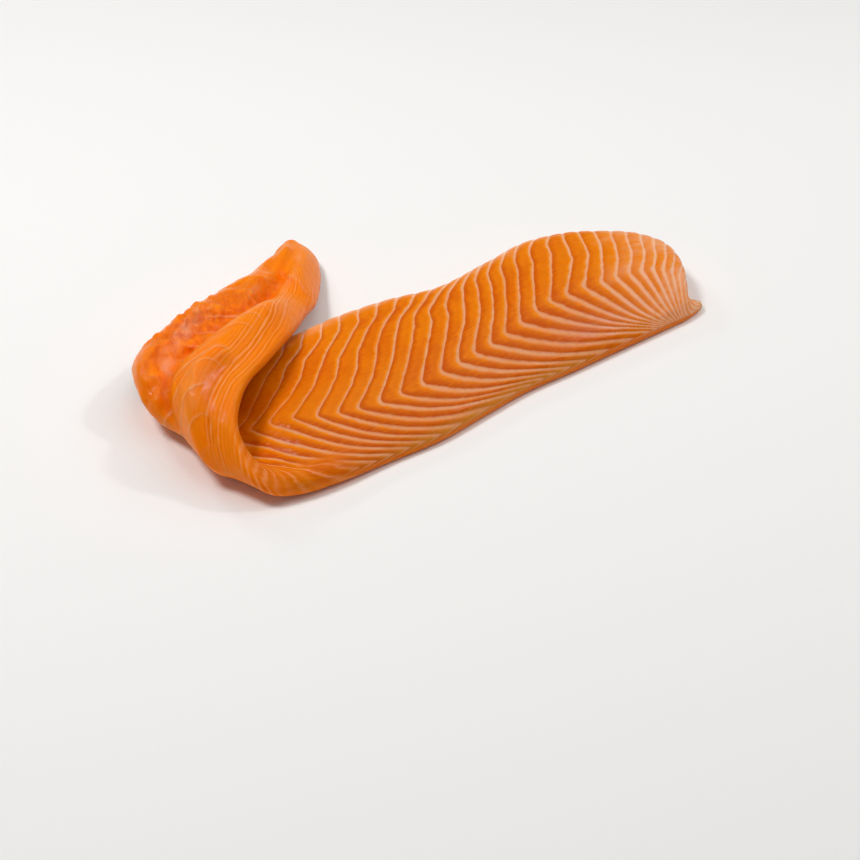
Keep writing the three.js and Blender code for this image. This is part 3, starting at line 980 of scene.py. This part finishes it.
@dataclass(frozen=True)
class FleshRelief:
    """Low relief of the flesh: flakes that stand up between the lines, and lumps along the tail's ridge."""

    flake_depth: float = 0.5
    flake_round: float = 0.55
    lump_height: float = 4.0
    lump_size: float = 10.0
    lump_stray: float = 6.0
    pebble_share: float = 0.65
    pebbles_per_lump: float = 2.3
    seed: float = 3.0
    stray_size: float = 10.0
    lump_softness: float = 0.15
    pebble_softness: float = 0.3
    lump_slope: Span = (0.15, 0.75)
    pebble_slope: Span = (0.1, 0.8)
    swing: Span = (0.5, -0.5)
    crease_depth: Span = (-0.15, -0.55)

    def sizes(self) -> dict[str, float]:
        """The sizes that the tree takes as its named inputs."""
        return {
            "Flake Depth": self.flake_depth, "Lump Height": self.lump_height, "Lump Size": self.lump_size,
            "Lump Stray": self.lump_stray, "Pebble Share": self.pebble_share,
            "Pebbles Per Lump": self.pebbles_per_lump, "Seed": self.seed,
        }

    def empty_tree(self) -> bpy.types.NodeTree:
        """Adds the geometry tree with its named inputs and its output.

        Returns:
            The tree, which has no nodes yet.
        """
        tree = bpy.data.node_groups.new("flesh_relief", "GeometryNodeTree")
        new_socket = tree.interface.new_socket
        new_socket("Geometry", in_out="INPUT", socket_type="NodeSocketGeometry")
        for name in self.sizes():
            new_socket(name, in_out="INPUT", socket_type="NodeSocketFloat")
        new_socket("Material", in_out="INPUT", socket_type="NodeSocketMaterial")
        new_socket("Geometry", in_out="OUTPUT", socket_type="NodeSocketGeometry")
        return tree

    def lumps(self, node: MakeNode, given: Masks) -> bpy.types.Node:
        """Adds rounded lumps with pebbles on them, by their distance from strayed cell middles.

        Args:
            node: Adds a node to the tree.
            given: The tree's named inputs.

        Returns:
            The node whose output is their height, about 0, as a share of the lumps' full height.
        """
        place = node("ShaderNodeVectorMath", (node("GeometryNodeInputPosition"), 1 / MM), operation="SCALE")
        noise = node("ShaderNodeTexNoise", {
            "Vector": place, "W": given["Seed"], "Scale": 1 / self.stray_size, "Detail": 2.0,
        }, noise_dimensions="4D").outputs["Color"]
        off = node("ShaderNodeVectorMath", (noise, (0.5, 0.5, 0.5)), operation="SUBTRACT")
        shift = node("ShaderNodeVectorMath", (off, given["Lump Stray"]), operation="SCALE")
        strayed = node("ShaderNodeVectorMath", (place, shift), operation="ADD")
        scale = node("ShaderNodeMath", (1.0, given["Lump Size"]), operation="DIVIDE")
        small_scale = node("ShaderNodeMath", (scale, given["Pebbles Per Lump"]), operation="MULTIPLY")
        heights = []
        for cell_scale, softness, slope in ((scale, self.lump_softness, self.lump_slope),
                                            (small_scale, self.pebble_softness, self.pebble_slope)):
            cells = node("ShaderNodeTexVoronoi", {
                "Vector": strayed, "W": given["Seed"], "Scale": cell_scale, "Smoothness": softness,
            }, voronoi_dimensions="4D", feature="SMOOTH_F1")
            far = cells.outputs["Distance"]
            heights.append(node("ShaderNodeMapRange", (far, *slope, *self.swing), **SOFT))
        lump, pebble = heights
        return node("ShaderNodeMath", (pebble, given["Pebble Share"], lump), operation="MULTIPLY_ADD")

    def tree(self) -> bpy.types.NodeTree:
        """Builds the tree that raises the relief along the normals and marks the creases between lumps, where
        the finish paints shade.

        Returns:
            The geometry tree.
        """
        tree = self.empty_tree()
        node = partial(add_node, tree)
        given = node("NodeGroupInput").outputs
        on = {name: node("GeometryNodeInputNamedAttribute", {"Name": name}, data_type="FLOAT")
              for name in ("line_count", "flaked", "lumpy")}

        to_line = node("ShaderNodeMath", (on["line_count"], 0.5), operation="PINGPONG")
        sunk = node("ShaderNodeMapRange", (to_line, 0.0, 0.5 * self.flake_round, -1.0, 0.0), **SOFT)
        depth = node("ShaderNodeMath", (on["flaked"], given["Flake Depth"]), operation="MULTIPLY")
        flakes = node("ShaderNodeMath", (sunk, depth), operation="MULTIPLY")

        lumps = self.lumps(node, given)
        tall = node("ShaderNodeMath", (on["lumpy"], given["Lump Height"]), operation="MULTIPLY")
        rise = node("ShaderNodeMath", (lumps, tall, flakes), operation="MULTIPLY_ADD")
        metres = node("ShaderNodeMath", (rise, MM), operation="MULTIPLY")
        offset = node("ShaderNodeVectorMath", (node("GeometryNodeInputNormal"), metres), operation="SCALE")
        raised = node("GeometryNodeSetPosition", {"Geometry": given["Geometry"], "Offset": offset})

        # The low ground between lumps, stored for the finish to paint shade into.
        gap = node("ShaderNodeMapRange", (lumps, *self.crease_depth, *RISING), **SOFT)
        crease = node("ShaderNodeMath", (gap, on["lumpy"]), operation="MULTIPLY")
        marked = node("GeometryNodeStoreNamedAttribute", {
            "Geometry": raised, "Name": "crease", "Value": crease,
        }, data_type="FLOAT", domain="POINT")
        real = node("GeometryNodeRealizeInstances", {"Geometry": marked})
        dressed = node("GeometryNodeSetMaterial", {"Geometry": real, "Material": given["Material"]})
        node("NodeGroupOutput", (dressed,))
        return tree

    def raise_on(self, piece: bpy.types.Object, material: bpy.types.Material) -> None:
        """Raises the relief on a piece and leaves it a plain mesh.

        Args:
            piece: The piece, whose mesh carries the attributes that the tree reads.
            material: The finish that it gets.
        """
        tree = self.tree()
        modifier = piece.modifiers.new("flesh_relief", "NODES")
        modifier.node_group = tree
        values = {**self.sizes(), "Material": material}
        for socket in tree.interface.items_tree:
            if socket.name in values:
                modifier[socket.identifier] = values[socket.name]
        evaluated = piece.evaluated_get(bpy.context.evaluated_depsgraph_get())
        plain = bpy.data.meshes.new_from_object(evaluated)
        piece.modifiers.remove(modifier)
        piece.data = plain


@dataclass(frozen=True)
class Fillet:
    """The fillet as one closed skin, with the flakes and lines of its flesh."""

    sheet: FoldedSheet = field(default_factory=FoldedSheet)
    lines: FatLines = field(default_factory=FatLines)
    relief: FleshRelief = field(default_factory=FleshRelief)
    flesh: RawSalmonFlesh = field(default_factory=RawSalmonFlesh)
    rows: int = 480
    flesh_columns: int = 112
    skinned_columns: int = 92
    even_share: float = 0.75
    least_step: float = 0.05

    def shares(self, columns: int) -> np.ndarray:
        """Shares across the sheet that close up towards the edges, for this many columns."""
        even = np.linspace(0, 1, columns)
        return self.even_share * even + (1 - self.even_share) * (0.5 - 0.5 * np.cos(np.pi * even))

    def half_grid(self, stations: np.ndarray, shares: np.ndarray, side: Side) -> dict[str, np.ndarray]:
        """Places the points of one side and works out what its finish needs to know.

        Args:
            stations: Stations of the rows.
            shares: Shares of the columns.
            side: The side of the sheet.

        Returns:
            A grid of values for each name, and of places in millimetres for "place".
        """
        station, share = np.meshgrid(stations, shares, indexing="ij")
        across = share * self.sheet.width(station)
        zones = FleshZones(self.sheet, station, share, side)
        return {
            "place": self.sheet.points(station, share, side),
            "line_count": self.lines.count(stations, shares, side),
            "line_width": self.lines.width_at(station, share, side),
            "streak_count": self.lines.streak_count(station, across, side),
            "station": station,
            "across": across,
            "skinned": np.full(share.shape, side.value),
            "flaked": zones.flaked(),
            "lumpy": zones.lumpy(),
            "filmy": zones.film(),
            "streaked": zones.streaked(),
            "lined": zones.lined(),
            "sunken": zones.sunken(),
            "fatty": zones.fatty(),
        }

    def crowding(self, places: np.ndarray, count: np.ndarray) -> np.ndarray:
        """Works out how close the lines lie.

        Args:
            places: The grid of places around the sheet.
            count: The grid of the lines' count.

        Returns:
            Lines for each millimetre, over the grid.
        """
        along_step = np.linalg.norm(np.gradient(places, axis=0), axis=-1)
        across_step = np.linalg.norm((np.roll(places, -1, 1) - np.roll(places, 1, 1)) / 2, axis=-1)
        along = np.abs(np.gradient(count, axis=0)) / np.maximum(along_step, self.least_step)
        across = np.abs(np.roll(count, -1, 1) - np.roll(count, 1, 1)) / 2
        return np.hypot(along, across / np.maximum(across_step, self.least_step))

    def whole_grid(self) -> dict[str, np.ndarray]:
        """Joins both sides' grids around the sheet: across the skinned side and back on the flesh side.

        Returns:
            A grid for each name, with halfway values of "skinned" along the two edges.
        """
        stations = np.linspace(0, self.sheet.length, self.rows)
        over, back = self.shares(self.skinned_columns), self.shares(self.flesh_columns)[-2:0:-1]
        halves = [self.half_grid(stations, over, Side.SKINNED), self.half_grid(stations, back, Side.FLESH)]
        grid = {name: np.concatenate([half[name] for half in halves], axis=1) for name in halves[0]}
        grid["skinned"][:, [0, self.skinned_columns - 1]] = 0.5
        grid["line_crowding"] = self.crowding(grid["place"], grid["line_count"])
        return grid

    def vertices(self, places: np.ndarray) -> np.ndarray:
        """Lists the mesh's points, moved so that their box stands where the CAD part's box does.

        Args:
            places: The grid of places around the sheet.

        Returns:
            The grid's points, the middle of the thick end and the middle of the tip, in metres.
        """
        vertices = np.concatenate([places.reshape(-1, 3), [places[0].mean(0), places[-1].mean(0)]])
        low, high = vertices.min(0), vertices.max(0)
        cad_low, cad_high = (np.array(corner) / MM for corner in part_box("fillet"))
        move = (cad_low + cad_high - low - high) / 2
        move[2] = cad_low[2] - low[2]
        return (vertices + move) * MM

    def faces(self, around: int) -> list[list[int]]:
        """Lists the faces: quads around the sheet, and a fan of triangles over each end.

        Args:
            around: How many points one row has.

        Returns:
            The points of each face.
        """
        i, j = np.meshgrid(np.arange(self.rows - 1), np.arange(around), indexing="ij")
        a, b = (i * around + j).ravel(), (i * around + (j + 1) % around).ravel()
        faces = np.stack([a, a + around, b + around, b], axis=1).tolist()
        first = np.arange(around)
        last = first + (self.rows - 1) * around
        head, tip = self.rows * around, self.rows * around + 1
        faces += [[head, p, q] for p, q in zip(first.tolist(), np.roll(first, -1).tolist())]
        faces += [[tip, q, p] for p, q in zip(last.tolist(), np.roll(last, -1).tolist())]
        return faces

    def build(self) -> bpy.types.Object:
        """Makes the skin of the fillet in the frame's own place.

        Returns:
            The finished object.
        """
        grid = self.whole_grid()
        places = grid.pop("place")
        mesh = bpy.data.meshes.new("salmon_fillet")
        mesh.from_pydata(self.vertices(places).tolist(), [], self.faces(places.shape[1]))
        for name, values in grid.items():
            everywhere = np.append(values.reshape(-1), [values[0].mean(), values[-1].mean()])
            attribute = mesh.attributes.new(name, "FLOAT", "POINT")
            attribute.data.foreach_set("value", everywhere.astype(np.float32))
        fillet = bpy.data.objects.new("salmon_fillet", mesh)
        bpy.context.scene.collection.objects.link(fillet)
        self.relief.raise_on(fillet, self.flesh.material())
        fillet.data.shade_smooth()
        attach(fillet, "root")
        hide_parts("fillet")
        return fillet


@dataclass(frozen=True)
class SoftBox:
    """A round soft light that looks at the fillet."""

    name: str
    heading_deg: float
    height_deg: float
    distance_m: float
    size_m: float
    watts: float

    def place(self) -> Vector:
        """Finds where the light hangs.

        Returns:
            Its place in metres, with the heading counted from +Y towards +X.
        """
        heading, height = math.radians(self.heading_deg), math.radians(self.height_deg)
        flat = math.cos(height)
        way = Vector((math.sin(heading) * flat, math.cos(heading) * flat, math.sin(height)))
        return self.distance_m * way

    def hang(self) -> bpy.types.Object:
        """Adds the light, turned to the middle of the floor.

        Returns:
            The light's object.
        """
        data = bpy.data.lights.new(self.name, "AREA")
        data.shape = "DISK"
        data.size = self.size_m
        data.energy = self.watts
        turn = (-self.place()).to_track_quat("-Z", "Y")
        light = bpy.data.objects.new(self.name, data)
        light.matrix_world = Matrix.LocRotScale(self.place(), turn, None)
        bpy.context.scene.collection.objects.link(light)
        return light


@dataclass(frozen=True)
class MattWhitePaper:
    """White studio paper, rolled and uncoated: it scatters all light evenly, so shadows on it stay soft."""

    colour: str = "#f6f5f3"

    def material(self) -> bpy.types.Material:
        """Builds the material.

        Returns:
            The plain, dull paper.
        """
        material = bpy.data.materials.new("matt_white_paper")
        material.use_nodes = True
        material.node_tree.nodes.clear()
        paper = add_node(material.node_tree, "ShaderNodeBsdfDiffuse", {"Color": linear_colour(self.colour)})
        add_node(material.node_tree, "ShaderNodeOutputMaterial", {"Surface": paper})
        return material


@dataclass(frozen=True)
class Studio:
    """A pale floor under large soft lights, and the camera."""

    camera_place_m: tuple[float, float, float] = (-0.3437, -0.5396, 0.4707)
    heading_deg: float = 33.83
    look_down_deg: float = 40.73
    roll_deg: float = 0.43
    lens_mm: float = 58.6
    nearest_m: float = 0.01
    floor_m: float = 8.0
    floor_paper: MattWhitePaper = MattWhitePaper()
    room_rise: Span = (0.05, 0.4)
    room_levels: Span = (0.38, 0.17)
    soft_boxes: tuple[SoftBox, ...] = (
        SoftBox("overhead", 100, 66, 1.3, 1.7, 6.8),
        SoftBox("left", 300, 62, 1.3, 0.35, 7.6),
        SoftBox("right", 109, 48, 1.3, 0.12, 2.4),
        SoftBox("back", 350, 32, 1.4, 0.2, 2.0),
    )

    def add_camera(self) -> bpy.types.Object:
        """Places the camera and makes it the scene's own.

        Returns:
            The camera's object.
        """
        heading, down = math.radians(self.heading_deg), math.radians(self.look_down_deg)
        flat = math.cos(down)
        forward = Vector((math.sin(heading) * flat, math.cos(heading) * flat, -math.sin(down)))
        turn = forward.to_track_quat("-Z", "Y") @ Quaternion((0, 0, 1), math.radians(self.roll_deg))
        data = bpy.data.cameras.new("camera")
        data.lens = self.lens_mm
        data.clip_start = self.nearest_m
        camera = bpy.data.objects.new("camera", data)
        camera.matrix_world = Matrix.LocRotScale(Vector(self.camera_place_m), turn, None)
        bpy.context.scene.collection.objects.link(camera)
        bpy.context.scene.camera = camera
        return camera

    def add_floor(self) -> bpy.types.Object:
        """Lays the floor.

        Returns:
            The floor's object, which is stage and no part of the fillet.
        """
        half = self.floor_m / 2
        corners = [(-half, -half, 0), (half, -half, 0), (half, half, 0), (-half, half, 0)]
        mesh = bpy.data.meshes.new("floor")
        mesh.from_pydata(corners, [], [(0, 1, 2, 3)])
        mesh.materials.append(self.floor_paper.material())
        floor = bpy.data.objects.new("floor", mesh)
        bpy.context.scene.collection.objects.link(floor)
        return floor

    def add_lights(self) -> None:
        """Hangs the soft boxes in a room that is pale near the floor and dimmer overhead."""
        world = bpy.data.worlds.new("pale_room")
        world.use_nodes = True
        world.node_tree.nodes.clear()
        node = partial(add_node, world.node_tree)
        way = node("ShaderNodeTexCoord").outputs["Generated"]
        height = node("ShaderNodeSeparateXYZ", (way,)).outputs["Z"]
        level = node("ShaderNodeMapRange", (height, *self.room_rise, *self.room_levels), **SOFT)
        room = node("ShaderNodeBackground", {"Color": (1, 1, 1, 1), "Strength": level})
        node("ShaderNodeOutputWorld", {"Surface": room})
        bpy.context.scene.world = world
        bpy.context.scene.view_settings.view_transform = "Standard"
        for box in self.soft_boxes:
            LOG.info("%s light hung", box.hang().name)


def main() -> None:
    """Builds the studio and the fillet."""
    logging.basicConfig(level=logging.INFO, format="%(message)s")
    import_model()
    studio = Studio()
    LOG.info("%s placed", studio.add_camera().name)
    LOG.info("%s laid", studio.add_floor().name)
    studio.add_lights()
    fillet = Fillet().build()
    LOG.info("%s: %d faces", fillet.name, len(fillet.data.polygons))


if __name__ == "__main__":
    main()
